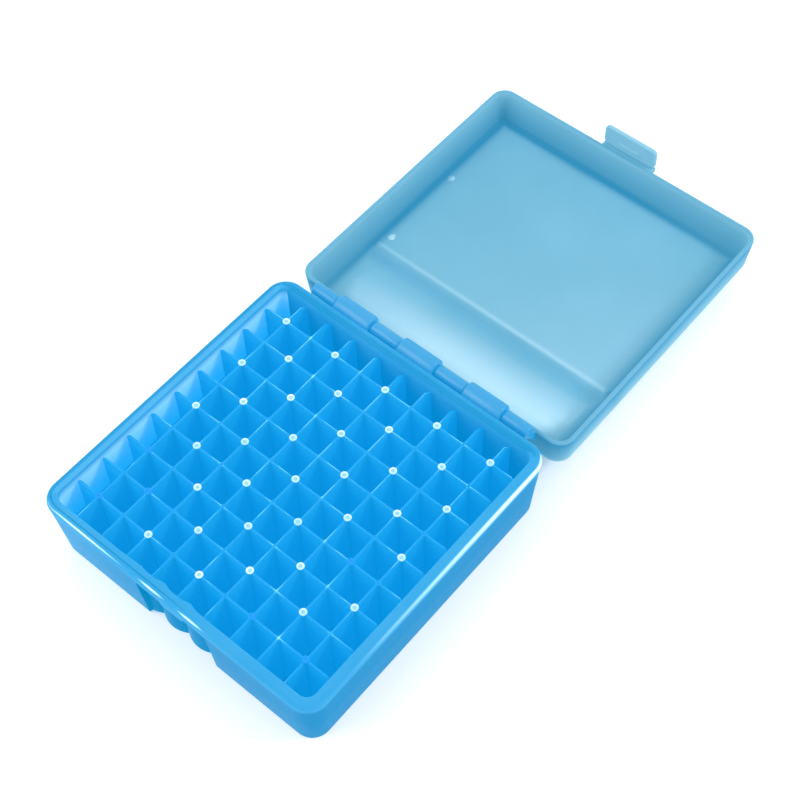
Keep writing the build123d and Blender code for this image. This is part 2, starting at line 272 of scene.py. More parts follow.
def mixed(tree, amount, low, high):
    """Colour mix from low to high; either may be a colour or a socket."""
    mix = tree.nodes.new("ShaderNodeMix")
    mix.data_type = "RGBA"
    tree.links.new(amount, mix.inputs[0])
    for socket, value in ((mix.inputs[6], low), (mix.inputs[7], high)):
        if isinstance(value, tuple):
            socket.default_value = (*value, 1)
        else:
            tree.links.new(value, socket)
    return mix.outputs[2]


def plastic(name, colour, cloudy, deep, soft_light, pale, glow, patchy=1.0, rough=0.3, gloss=0.5):
    """Translucent moulded polypropylene: faint cloudy flow marks, fine satin grain, light that soaks in
    by subsurface scattering, and a painted glow from the emission in place of light carried through the
    walls. The piece's tone attribute paints light and shade into the colour: soft painted light (0.5), a
    painted highlight (1), or the deep colour (down to -1), mostly as painted shade."""
    material = bpy.data.materials.new(name)
    material.use_nodes = True
    tree = material.node_tree
    link = tree.links.new
    shader = tree.nodes["Principled BSDF"]
    place = tree.nodes.new("ShaderNodeTexCoord").outputs["Object"]
    cloud = node(tree, "ShaderNodeTexNoise", Scale=28.0, Detail=3.0)
    drift = node(tree, "ShaderNodeMapRange", From_Min=0.35, From_Max=0.75)
    patch = node(tree, "ShaderNodeTexNoise", Scale=45.0)
    fade = node(tree, "ShaderNodeMapRange", From_Min=0.38, From_Max=0.6, To_Min=patchy)
    tone = tree.nodes.new("ShaderNodeAttribute")
    tone.attribute_name = "tone"
    deeper = node(tree, "ShaderNodeMapRange", From_Max=-1.0)
    paler = tree.nodes.new("ShaderNodeMath")
    paler.operation = "MULTIPLY"
    paler.use_clamp = True
    fine = node(tree, "ShaderNodeTexNoise", Scale=900.0, Detail=2.0)
    satin = node(tree, "ShaderNodeMapRange", To_Min=rough - 0.06, To_Max=rough + 0.08)
    grain = node(tree, "ShaderNodeBump", Strength=0.25, Distance=0.02 * MM)
    for texture in (cloud, patch, fine):
        link(place, texture.inputs["Vector"])
    link(cloud.outputs["Fac"], drift.inputs["Value"])
    link(patch.outputs["Fac"], fade.inputs["Value"])
    link(tone.outputs["Fac"], deeper.inputs["Value"])
    link(tone.outputs["Fac"], paler.inputs[0])
    link(fade.outputs["Result"], paler.inputs[1])
    base = mixed(tree, drift.outputs["Result"], colour, cloudy)
    base = mixed(tree, deeper.outputs["Result"], base, deep)
    # the tone's upper half mixes in the soft painted light, then the painted highlight colour
    softly_lit = node(tree, "ShaderNodeMapRange", From_Max=0.5)
    painted_highlight = node(tree, "ShaderNodeMapRange", From_Min=0.5)
    link(paler.outputs["Value"], softly_lit.inputs["Value"])
    link(paler.outputs["Value"], painted_highlight.inputs["Value"])
    base = mixed(tree, softly_lit.outputs["Result"], base, soft_light)
    base = mixed(tree, painted_highlight.outputs["Result"], base, pale)
    link(base, shader.inputs["Base Color"])
    link(fine.outputs["Fac"], satin.inputs["Value"])
    link(satin.outputs["Result"], shader.inputs["Roughness"])
    link(fine.outputs["Fac"], grain.inputs["Height"])
    link(grain.outputs["Normal"], shader.inputs["Normal"])
    shader.inputs["IOR"].default_value = 1.49
    shader.inputs["Specular IOR Level"].default_value = gloss
    shader.inputs["Subsurface Weight"].default_value = 0.5
    shader.inputs["Subsurface Radius"].default_value = (0.5, 0.9, 1.0)
    shader.inputs["Subsurface Scale"].default_value = 3.0 * MM
    # emission: a painted glow standing in for light carried through the walls
    shader.inputs["Emission Color"].default_value = (*glow, 1)
    shader.inputs["Emission Strength"].default_value = 1.0
    return material


TRAY_BLUE = plastic(
    "tray_blue_polypropylene", colour=(0.04, 0.20, 0.38), cloudy=(0.06, 0.23, 0.41), deep=(0.0, 0.08, 0.20),
    soft_light=(0.50, 0.74, 0.80), pale=(0.9, 0.97, 1.0), glow=(0.0, 0.19, 0.38), gloss=0.01,
)
GRID_BLUE = plastic(
    "grid_blue_polypropylene", colour=(0.012, 0.185, 0.32), cloudy=(0.02, 0.20, 0.34), deep=(0.0, 0.12, 0.35),
    soft_light=(0.16, 0.45, 0.6), pale=(0.45, 0.75, 0.85), glow=(0.002, 0.218, 0.49), gloss=0.2,
)
HINGE_BLUE = plastic(
    "hinge_blue_polypropylene", colour=(0.03, 0.18, 0.34), cloudy=(0.05, 0.21, 0.37), deep=(0.0, 0.10, 0.22),
    soft_light=(0.35, 0.55, 0.65), pale=(0.7, 0.9, 1.0), glow=(0.0, 0.17, 0.36), rough=0.24, gloss=0.4,
)
PAD_FROST = plastic(
    "pad_frosted_polypropylene", colour=(0.22, 0.45, 0.6), cloudy=(0.25, 0.5, 0.65), deep=(0.0, 0.17, 0.5),
    soft_light=(0.55, 0.7, 0.8), pale=(0.88, 0.95, 1.0), glow=(0.0, 0.14, 0.32), patchy=0.6, gloss=0.3,
)
LID_BLUE = plastic(
    "lid_pale_blue_polypropylene",
    colour=(0.15, 0.29, 0.38), cloudy=(0.17, 0.32, 0.42), deep=(0.02, 0.13, 0.28),
    soft_light=(0.48, 0.6, 0.66), pale=(0.85, 0.92, 0.95), glow=(0.02, 0.17, 0.25), gloss=0.01,
)


def finish_piece(piece, material, body, nodes):
    """Gives the piece its material and body, and hides the nodes that it stands in for."""
    piece.data.materials.append(material)
    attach(piece, body)
    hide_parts(*nodes)


# ---- tray shell ----
CORE_X = HALF_X - TRAY_CORNER
CORE_Y = HALF_Y - TRAY_CORNER
WALL = HALF_X - INNER_X
FOOT = 1.0 * MM                 # fillet between floor and inner walls
LIP = 0.6 * MM                  # radius of the rim's inner edge
BROW = 2.3 * MM                 # radius of the rim's outer edge
HEEL = 0.8 * MM                 # radius round the underside
BRIDGE_EDGE = 0.4 * MM          # row of points just above the recess
LEDGE = 0.05 * MM               # height over which a wall steps back to the scallops
LEFT_LIGHT_LOW = 9.5 * MM             # painted light on the left inner wall, as if shining through it, starts between these heights and runs up
LEFT_LIGHT_HIGH = 12.5 * MM
GROOVE_SHADE = 0.35 * MM              # width behind the rim's rounded outer edge that carries the painted shade of a groove; the rim is flat there
SWELL = 0.9 * MM                # swelling of the rim's inner edge over the recess
SWELL_PLACES = (-1.5, -0.5, 0.5)
SWELL_SPREAD = 0.2              # in cells


def tray_section(inset, z):
    """Loop of the tray inset from the rim's outline, its corners sharing the rim's centres."""
    return HALF_X - inset, HALF_Y - inset, TRAY_CORNER - inset, z


def outer_section(z, extra=0.0):
    """Loop on the drafted outer wall at height z."""
    lean = TRAY_DRAFT * (1 - z / RIM_Z)
    radius = BASE_CORNER + (TRAY_CORNER - BASE_CORNER) * z / RIM_Z
    return HALF_X - lean - extra, HALF_Y - lean - extra, radius - extra, z


shelf_top = RECESS_TOP + SHELF
tray_sections = [tray_section(WALL + FOOT, FLOOR)]
tray_sections += [tray_section(WALL - o, z) for o, z in arc((-FOOT, FLOOR + FOOT), FOOT, 270, 360, 3)[1:]]
tray_sections += [tray_section(WALL, z) for z in (LEFT_LIGHT_LOW, LEFT_LIGHT_HIGH, shelf_top - LEDGE, shelf_top)]
tray_sections += [tray_section(WALL - LIP - o, z) for o, z in arc((0, RIM_Z - LIP), LIP, 180, 90, 4)]
tray_sections += [tray_section(BROW + GROOVE_SHADE, RIM_Z)]
tray_sections += [tray_section(BROW - o, z) for o, z in arc((0, RIM_Z - BROW), BROW, 90, 0, 6)]
tray_sections += [outer_section(z) for z in (RECESS_TOP + BRIDGE_EDGE, RECESS_TOP)]
tray_sections += [outer_section(z) for z in (RECESS_TOP - LEDGE, RIM_Z / 2, HEEL)]
tray_sections += [outer_section(z, HEEL - o) for o, z in arc((0, HEEL), HEEL, 0, -90, 3)[1:]]


def bump(value, middle, width):
    """exp(-((value - middle) / width)^2)."""
    return np.exp(-(((value - middle) / width) ** 2))


def flute_face(x, radius):
    """Front of the scalloped wall: centre - sqrt(radius^2 - d^2), d from the middle of the cell."""
    d = x / PITCH - np.floor(x / PITCH) - 0.5
    return FLUTE_CENTRE - np.sqrt(radius**2 - (d * PITCH) ** 2)


def recess(points, section):
    """Under the rim bridge both skins of the front wall step back to the scallops, and above it the
    inner edge of the rim swells towards the cells over three of them."""
    inset, z = HALF_X - section[0], section[3]
    x, y = points[..., 0], points[..., 1]
    front = y < -HALF_Y + 2 * WALL
    inner_skin = inset > WALL - LEDGE and z > FLOOR
    if z < (shelf_top if inner_skin else RECESS_TOP) - LEDGE / 2:
        radius = FLUTE_RADIUS
        if inner_skin or z == FLOOR:
            radius -= FLUTE_WALL + max(inset - WALL, 0)
        face = flute_face(x, radius)
        points[..., 1] = np.where(front & (np.abs(x) < RECESS_HALF - LEDGE) & (y < face), face, y)
    elif inset > WALL - LIP - LEDGE:
        swell = SWELL * sum(bump(x / PITCH, middle, SWELL_SPREAD) for middle in SWELL_PLACES)
        points[..., 1] += np.where(front, swell, 0)
    return points


HIGHLIGHT_EDGE = 0.45 * MM         # the painted highlight band lies this far in from the outline, and is as wide
LINE_INSET = 0.67 * MM          # thin painted highlight line along the front edge
LINE_WIDTH = 0.25 * MM
# places and half lengths of the painted highlight lines along the front rim
FRONT_LINES = ((-9.0 * MM, 5.0 * MM), (11.0 * MM, 5.0 * MM))
LEFT_LINE = (-46.0 * MM, 16.0 * MM)
HIGHLIGHT_FROM = -60.0 * MM        # along the right rim the painted highlight grows from here to the rear
HIGHLIGHT_LENGTH = 125.0 * MM
# tone of the painted light on the upper inner face of the left wall
LEFT_WALL_LIGHT = 0.45


def tray_tone(p):
    """Painted shade on the outer walls, less of it towards the left of the front. A painted highlight lies
    on the rounded outer edge of the rim, strongest at the right rear corner, less along the rear, and in
    thin lines along the front. The upper inner face of the left wall gets painted light, as if shining
    through it, and the other inner walls painted shade. The rim is shaded by side, darkest at the rear,
    and a line of painted groove shade runs along the front rim."""
    x, y, z = p.T
    inset = -rounded_distance(x, y, HALF_X, HALF_Y, TRAY_CORNER)
    at_left = (x < -HALF_X + WALL) & (np.abs(y) < HALF_Y - 3 * MM)
    at_rear = y > HALF_Y - WALL
    at_front = y < -HALF_Y + WALL
    fluted = (np.abs(x) < RECESS_HALF) & (z < RECESS_TOP) & (y < flute_face(x, FLUTE_RADIUS) + 0.4 * MM)
    outer = (inset < TRAY_DRAFT + 0.3 * MM) & (z < RIM_Z - BROW) | (z < FLOOR - LEDGE) | fluted
    inner = (inset > WALL - 0.1 * MM) & (z > FLOOR) & (z < RIM_Z - LIP)

    # painted shade on the rim's top and rounding, by side, darkest at the rear
    flat = np.where(at_rear, -0.6, np.where(at_left, 0.03, -0.05))
    rounding = np.where(at_left, -0.5, np.where(at_rear, -0.3, -0.1))
    rim = np.where(inset > BROW + GROOVE_SHADE / 2, flat, rounding)
    # painted shade of a groove along the front rim, fading out to the right
    groove_shade = -0.9 * step((20 * MM - x) / (30 * MM))
    rim = np.where(at_front & (np.abs(inset - BROW) < GROOVE_SHADE / 2), groove_shade, rim)

    band = bump(inset, HIGHLIGHT_EDGE, HIGHLIGHT_EDGE) * (z > RIM_Z - BROW - LEDGE)
    right = step((x - HALF_X + 6 * MM) / (5 * MM)) * (0.1 + 0.9 * step((y - HIGHLIGHT_FROM) / HIGHLIGHT_LENGTH))
    rear = 0.3 * step((y - HALF_Y + 6 * MM) / (4 * MM)) * (x < HALF_X - 6 * MM)
    line = bump(inset, LINE_INSET, LINE_WIDTH) * (z > RIM_Z - BROW)
    front = sum(bump(x, *place) for place in FRONT_LINES) + (x < 0) * bump(x, *LEFT_LINE)
    # painted highlight on the rim's outer edge and in thin lines along the front
    painted_highlight = np.maximum(band * np.maximum(right, rear), line * front * at_front)
    rim = np.where(painted_highlight > 0.03, rim * (1 - painted_highlight) + painted_highlight, rim)

    # painted shade on the outer walls, less towards the left of the front; painted light on the left inner
    # wall, painted shade on the other inner walls
    outside = -1.0 + 0.5 * step(-x / HALF_X) * at_front
    inside = np.where((x < -INNER_X + 2 * MM) & (z > LEFT_LIGHT_HIGH - LEDGE), LEFT_WALL_LIGHT, -0.25)
    return np.where(outer, outside, np.where(inner, inside, rim))


flute_knots = np.linspace(-1, 1, 55) * (RECESS_HALF - 2 * LEDGE) / CORE_X
edge_knots = np.array([-1, 1]) * RECESS_HALF / CORE_X
side_knots = np.linspace(RECESS_HALF / CORE_X, 1, 9)[1:]
tray_kx = knots(np.concatenate([flute_knots, edge_knots, side_knots, -side_knots]))
tray_ky = knots(np.linspace(-1, 1, 19))
tray_shell = shell(
    "tray_shell", tray_kx, tray_ky, tray_sections, (CORE_X, CORE_Y), 0.0,
    lambda x, y: np.zeros_like(x), bend=recess, tone=tray_tone,
)
WALLS = ["left", "right", "rear", "front_left", "front_right"]
CORNERS = ["front_left", "front_right", "rear_left", "rear_right"]
tray_nodes = ["tray_floor", "tray_rim_bridge", "tray_finger_flutes"]
tray_nodes += [f"tray_wall_{wall}" for wall in WALLS] + [f"tray_corner_{corner}" for corner in CORNERS]
finish_piece(tray_shell, TRAY_BLUE, "tray", tray_nodes)


# ---- cell lattice ----
LONG_WAVE = 31 * MM
SHORT_WAVE = 13 * MM


def crest_shine(p):
    """Tone of the partitions' crests, from -1 (unlit) to 1 (lit) by a smooth step that opens towards the
    rear. Along the n-th line it follows sin(2 pi s / 31 mm + 2.4 n) + 0.5 sin(2 pi s / 13 mm + n), s being
    the way along it; the lengthwise lines are counted from 0.7."""
    gap_x = np.abs(p[:, 0][:, None] - np.array(LINES_X))
    gap_y = np.abs(p[:, 1][:, None] - np.array(LINES_Y))
    crosswise = gap_y.min(1) < gap_x.min(1)
    way = 2 * np.pi * np.where(crosswise, p[:, 0], p[:, 1])
    number = np.where(crosswise, gap_y.argmin(1), gap_x.argmin(1) + 0.7)
    wave = np.sin(way / LONG_WAVE + 2.4 * number) + 0.5 * np.sin(way / SHORT_WAVE + number)
    return 2 * step((wave + 0.3 + 0.5 * p[:, 1] / HALF_Y) / 1.4) - 1


def lattice():
    """Cross-shaped tile at every crossing. Each quarter is a path (arm, fillet, arm) carried up a
    profile (thickening, height); neighbouring tiles join in mid-cell and the outer arms end in the wall."""
    fillet = 1.0 * MM                       # upright, in the corners of the cells
    bed = 0.25 * MM                         # depth of the partitions' foot in the floor
    overrun = 1.0 * MM                      # of the outermost arms into the walls
    centre = HALF_SHEET + fillet
    height = GRID_TOP - FLOOR
    foot_taper, taper = 0.15 * MM, 0.015 * MM
    profile = [
        (0.8 * MM, -bed), (0.8 * MM, 0.0), (0.28 * MM, 0.25 * MM), (foot_taper, 0.9 * MM),
        (taper, RECESS_TOP - FLOOR - LEDGE), (taper, RECESS_TOP - FLOOR + LEDGE),
        (0.0, height - 0.4 * MM), (-0.06 * MM, height - 0.2 * MM), (-0.18 * MM, height - 0.07 * MM),
        (-0.31 * MM, height - 0.01 * MM),
    ]
    # painted shade on the crests' upper flanks; the spine's 1 later takes crest_shine's painted light
    profile_tones = [0, 0, 0, 0, 0, 0, 0, -0.4, -0.7, -0.5]
    along = np.array([1.0, 0.913, 0.75, 0.645, 0.0])
    turn = np.radians(np.linspace(-90, -180, 7))[1:-1]
    cx, cy = (middles.ravel() for middles in np.meshgrid(LINES_X, LINES_Y, indexing="ij"))

    arms = []                               # (low, high) reach of every tile, along x and along y
    for middle, wall, lines in ((cx, INNER_X, LINES_X), (cy, INNER_Y, LINES_Y)):
        low = np.where(np.isclose(middle, lines[0]), wall + overrun + middle, PITCH / 2)
        high = np.where(np.isclose(middle, lines[-1]), wall + overrun - middle, PITCH / 2)
        arms.append((low[:, None], high[:, None]))

    points, tones, faces = [], [], []
    for sx, sy in ((-1, -1), (-1, 1), (1, -1), (1, 1)):
        straight_x = centre + along * (arms[0][sx > 0] - centre)
        straight_y = centre + along[::-1] * (arms[1][sy > 0] - centre)
        rows = []
        for offset, z in profile:
            radius = fillet - offset
            side = np.full_like(straight_x, HALF_SHEET + offset)
            turn_x = np.broadcast_to(centre + radius * np.cos(turn), (len(cx), len(turn)))
            turn_y = np.broadcast_to(centre + radius * np.sin(turn), (len(cx), len(turn)))
            x = np.concatenate([straight_x, turn_x, side], 1)
            y = np.concatenate([side, turn_y, straight_y], 1)
            rows.append(np.stack([x, y, np.full_like(x, z)], -1))
        spine = rows[-1].copy()
        half = spine.shape[1] // 2
        spine[:, :half, 1] = 0
        spine[:, half + 1:, 0] = 0
        spine[:, half, :2] = 0
        base = spine.copy()
        base[..., 2] = -bed
        block = np.stack([base] + rows + [spine], 2)
        block[..., 0] = cx[:, None, None] + sx * block[..., 0]
        block[..., 1] = cy[:, None, None] + sy * block[..., 1]
        tiles, n, m = block.shape[:3]
        shift = (len(points) * tiles + np.arange(tiles)[:, None, None]) * (n * m)
        faces += (np.array(grid_faces(n, m)) + shift).reshape(-1, 4).tolist()
        points.append(block.reshape(-1, 3))
        tones.append(np.broadcast_to([0] + profile_tones + [1], block.shape[:3]).ravel())
    points = np.concatenate(points)
    tones = np.concatenate(tones)

    index = np.arange(len(points)).reshape(4, tiles, n, m)
    caps = [
        (np.isclose(cx, LINES_X[0]), 0, 1, 0), (np.isclose(cx, LINES_X[-1]), 2, 3, 0),
        (np.isclose(cy, LINES_Y[0]), 0, 2, n - 1), (np.isclose(cy, LINES_Y[-1]), 1, 3, n - 1),
    ]
    for at_wall, one, two, end in caps:
        a, b = index[one][at_wall][:, end], index[two][at_wall][:, end]
        faces += np.stack([a[:, :-1], a[:, 1:], b[:, 1:], b[:, :-1]], -1).reshape(-1, 4).tolist()

    x, y, z = points.T
    lengthwise = np.abs(x[:, None] - np.array(LINES_X)).min(1) < centre
    rear_drop = np.clip(y - (INNER_Y - REAR_BEVEL), 0, REAR_BEVEL * 1.5) * lengthwise
    side_drop = np.clip(np.abs(x) - (INNER_X - SIDE_BEVEL), 0, SIDE_BEVEL * 1.5)
    z = np.where(z > 0, z * (1 - (rear_drop + side_drop) / height), z)
    pinch = FLUTE_CENTRE - math.sqrt((FLUTE_RADIUS - FLUTE_WALL / 2) ** 2 - (PITCH / 2) ** 2)
    recessed = (np.abs(x) < RECESS_HALF) & (y < -INNER_Y + WALL) & (z < RECESS_TOP - FLOOR)
    y = np.where(recessed, np.maximum(y, pinch), y)
    points = np.stack([x, y, z + FLOOR], 1)
    tones = np.where(tones > 0.5, crest_shine(points), tones)
    return mesh_piece("cell_lattice", points, faces, sharp=50, tone=tones)


lattice_nodes = partition_nodes("lengthwise") + partition_nodes("crosswise")
finish_piece(lattice(), GRID_BLUE, "tray", lattice_nodes)


# ---- crossing pads ----
# Crossings, as (lengthwise, crosswise) line numbers from 0, whose button has the colour of the grid.
FAINT_PADS = {(0, 0), (0, 2), (1, 1), (6, 0), (7, 3), (8, 0)}


def pads():
    """Every second crossing carries a turned button with a rounded brim and a dished middle. Its brim
    carries a painted highlight, brighter on one side, and dimmed at random on some buttons."""
    base, top = GRID_TOP - 0.4 * MM, PAD_TOP
    profile = [
        (0.0, base), (1.5 * MM, base), (PAD_RADIUS, GRID_TOP), (PAD_RADIUS, top - 0.16 * MM),
        (1.5 * MM, top - 0.04 * MM), (1.3 * MM, top), (0.95 * MM, top - 0.02 * MM),
        (0.75 * MM, top - 0.12 * MM), (0.45 * MM, top - 0.24 * MM), (0.0, top - 0.27 * MM),
    ]
    # painted shade round the foot and a painted highlight round the brim
    profile_tones = [-0.3, -0.3, 0.0, 0.3, 0.75, 1, 0.9, 0.35, 0.1, 0.25]
    ring = revolve(profile, 18)
    rows, columns = ring.shape[:2]
    pairs = [(i, j) for i in range(len(LINES_X)) for j in range(len(LINES_Y)) if (i + j) % 2 == 0]
    places = [(LINES_X[i], LINES_Y[j]) for i, j in pairs]
    points = np.concatenate([ring.reshape(-1, 3) + (x, y, 0) for x, y in places])
    faces = []
    for k in range(len(places)):
        faces += grid_faces(rows, columns, start=k * rows * columns, wrap_columns=True)
    around = np.linspace(0, 2 * np.pi, columns, endpoint=False)
    tones = np.repeat(np.array(profile_tones)[:, None], columns, 1)
    # random dimming of the painted highlight from button to button; glint makes one side brighter
    dimming = np.sin(np.arange(len(places)) * 2.4)[:, None, None] * 0.5 + 0.5
    glint = 0.8 + 0.2 * np.cos(around - 2.2)
    tones = tones * np.where(tones > 0, glint * (1 - 0.45 * dimming**3), 1)
    faint = np.array([pair in FAINT_PADS for pair in pairs])[:, None, None]
    tones = np.where(faint, -1.0, tones)
    return mesh_piece("crossing_buttons", points, faces, tone=tones)


finish_piece(pads(), PAD_FROST, "tray", ["crossing_pads"])

# ---- catch under the rim bridge ----
low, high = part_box("front_catch")
catch = rounded_box("catch_block", low, (high.x, high.y, high.z + 0.3 * MM), 0.7 * MM)
finish_piece(catch, TRAY_BLUE, "tray", ["front_catch"])


# ---- hinge ----
def wedge(angles, *limits):
    """Reach along each angle to the nearest of the lines ny y + nz z = d, where it faces them."""
    reach = np.full(angles.shape, np.inf)
    for ny, nz, d in limits:
        facing = ny * np.cos(angles) + nz * np.sin(angles)
        reach = np.minimum(reach, np.where(facing > 1e-6, d / np.maximum(facing, 1e-6), np.inf))
    return reach


def line_through(a, b):
    """(ny, nz, d) of the line through a and b, its normal pointing away from the origin."""
    ny, nz = b[1] - a[1], -(b[0] - a[0])
    size = math.hypot(ny, nz)
    d = (ny * a[0] + nz * a[1]) / size
    return (ny / size, nz / size, d) if d > 0 else (-ny / size, -nz / size, -d)


BARREL = 4.45 * MM              # radii
KNUCKLE = 2.8 * MM
STUB = 1.6 * MM
BORE = 1.68 * MM
STUB_LENGTH = 4.4 * MM
BORE_DEPTH = 4.5 * MM
BARREL_EDGE = 0.9 * MM
KNUCKLE_EDGE = 0.6 * MM
ANGLES = np.radians(np.sort(np.concatenate([np.arange(0, 360, 6.0), [293, 297.5, 317.5]])))
WALL_Y = HALF_Y - TRAY_DRAFT * 0.2 - AXIS[1]


def barrel_outline():
    """Round barrel, blended at the power 8 with the web that runs down to the wall behind it."""
    web = wedge(ANGLES, (-1, 0, -WALL_Y), (0, 1, 1.5 * MM), line_through((0, -2.8 * MM), (WALL_Y, -9 * MM)))
    web = np.where(np.cos(ANGLES) < 0.02, web, 0)
    return (BARREL**8 + np.minimum(web, 12 * MM) ** 8) ** (1 / 8)


def knuckle_outline():
    """Round knuckle, blended at the power 10 with the arm that reaches down to the lid's wall."""
    arm = wedge(
        ANGLES, (1, 0, LID_BACK + 0.8 * MM - AXIS[1]), (0, -1, 10.1 * MM),
        line_through((-1.68 * MM, -2.24 * MM), (4.2 * MM, -10.1 * MM)),
    )
    degrees = np.degrees(ANGLES)
    arm = np.where((degrees > 233) & (degrees < 318), arm, 0)
    return (KNUCKLE**10 + arm**10) ** (1 / 10)


def rod_end(x, out, outline, core, depth, edge):
    """Stations of one end: pole, pin or bore, flat face, then the edge rounded over its radius."""
    stations = [(x + out * depth, 0.0), (x + out * depth, core), (x, core)]
    for a in np.radians([90, 60, 30, 0]):
        inset = edge * (1 - math.cos(a))
        stations.append((x - out * edge * (1 - math.sin(a)), outline - inset))
    return stations


for k in (1, 2, 3):
    low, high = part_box(f"hinge_barrel_{k}")
    outline = barrel_outline()
    left = rod_end(low.x, -1, outline, BORE, -BORE_DEPTH, BARREL_EDGE)
    right = rod_end(high.x, 1, outline, BORE, -BORE_DEPTH, BARREL_EDGE)
    barrel = star_rod(f"barrel_{k}", AXIS, left + right[::-1], ANGLES)
    finish_piece(barrel, HINGE_BLUE, "tray", [f"hinge_barrel_{k}"])

for k in (1, 2, 3, 4):
    low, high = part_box(f"hinge_knuckle_{k}")
    left_stub = STUB_LENGTH if k > 1 else 0.0
    right_stub = STUB_LENGTH if k < 4 else 0.0
    outline = knuckle_outline()
    left = rod_end(low.x + left_stub, -1, outline, STUB, left_stub, KNUCKLE_EDGE)
    right = rod_end(high.x - right_stub, 1, outline, STUB, right_stub, KNUCKLE_EDGE)
    knuckle = star_rod(f"knuckle_{k}", AXIS, left + right[::-1], ANGLES)
    finish_piece(knuckle, HINGE_BLUE, "lid", [f"hinge_knuckle_{k}"])

# ---- lid shell ----
LID_Y = (LID_BACK + LID_FRONT) / 2
LID_HALF_Y = (LID_FRONT - LID_BACK) / 2
PANEL_Z = LID_LOW_Z + 1.8 * MM
LID_WALL = 1.8 * MM
INNER_DRAFT = 1.8 * MM
OUTER_DRAFT = 1.0 * MM
COVE = 3.0 * MM                 # fillet round the panel
CROWN = 2.4 * MM                # radius between the outer walls and the panel's outer face
INNER_EDGE = 0.5 * MM           # radii of the rim's edges
OUTER_EDGE = 0.9 * MM
INNER_CORNER = 5.3 * MM
LID_CORE = (HALF_X - LID_CORNER, LID_HALF_Y - LID_CORNER)


def lid_section(inset, z, radius):
    """Loop of the lid inset from its outline, at height z."""
    return HALF_X - inset, LID_HALF_Y - inset, radius, z


low_inset = LID_WALL + INNER_DRAFT
lid_sections = []
for o, z in arc((low_inset + COVE, PANEL_Z + COVE), COVE, 270, 180, 6):
    lid_sections.append(lid_section(o, z, INNER_CORNER - (o - low_inset)))
lid_sections.append(lid_section(LID_WALL + 0.05 * MM, LID_RIM_Z - 0.6 * MM, INNER_CORNER))
for o, z in arc((LID_WALL - INNER_EDGE, LID_RIM_Z - INNER_EDGE), INNER_EDGE, 0, 90, 3):
    lid_sections.append(lid_section(o, z, LID_CORNER - o))
for o, z in arc((OUTER_EDGE, LID_RIM_Z - OUTER_EDGE), OUTER_EDGE, 90, 180, 4):
    lid_sections.append(lid_section(o, z, LID_CORNER - o))
for o, z in arc((OUTER_DRAFT + CROWN, LID_LOW_Z + CROWN), CROWN, 180, 270, 6):
    lid_sections.append(lid_section(o, z, LID_CORNER - (o - OUTER_DRAFT)))

TROUGH_HALF = (HALF_X - low_inset - 5.5 * MM, 18.0 * MM)
TROUGH_Y = LID_BACK + low_inset + 1.5 * MM + TROUGH_HALF[1]
TROUGH_CORNER = 17.5 * MM
TROUGH_DEPTH = 0.8 * MM
TROUGH_SLOPE = 3.5 * MM
RIDGE_Y = TROUGH_Y + TROUGH_HALF[1] + 0.8 * MM
RIDGE_HEIGHT = 0.5 * MM
RIDGE_WIDTH = 1.2 * MM
EJECTOR_MARKS = [(-60.8 * MM, 170.1 * MM), (-59.7 * MM, 126.7 * MM)]
MARK_RADIUS = 1.6 * MM
MARK_HEIGHT = 0.25 * MM
MARK_SLOPE = 0.4 * MM


def panel_relief(x, y):
    """Trough: rounded rectangle's signed distance through a smooth step, times its depth.
    Ridge beside it: height times exp(-(y / width)^2), fading towards the side walls.
    Ejector marks: round pads, their edge a smooth step of the distance from the middle."""
    inside = -rounded_distance(x, y - TROUGH_Y, *TROUGH_HALF, TROUGH_CORNER)
    trough = -TROUGH_DEPTH * step(inside / TROUGH_SLOPE)
    fade = step((HALF_X - low_inset - COVE - np.abs(x)) / (1.5 * MM))
    ridge = RIDGE_HEIGHT * bump(y, RIDGE_Y, RIDGE_WIDTH) * fade
    marks = np.zeros_like(x)
    for mark_x, mark_y in EJECTOR_MARKS:
        distance = np.hypot(x - mark_x, y - mark_y)
        marks += MARK_HEIGHT * (1 - step((distance - MARK_RADIUS + MARK_SLOPE) / MARK_SLOPE))
    return trough + ridge + marks


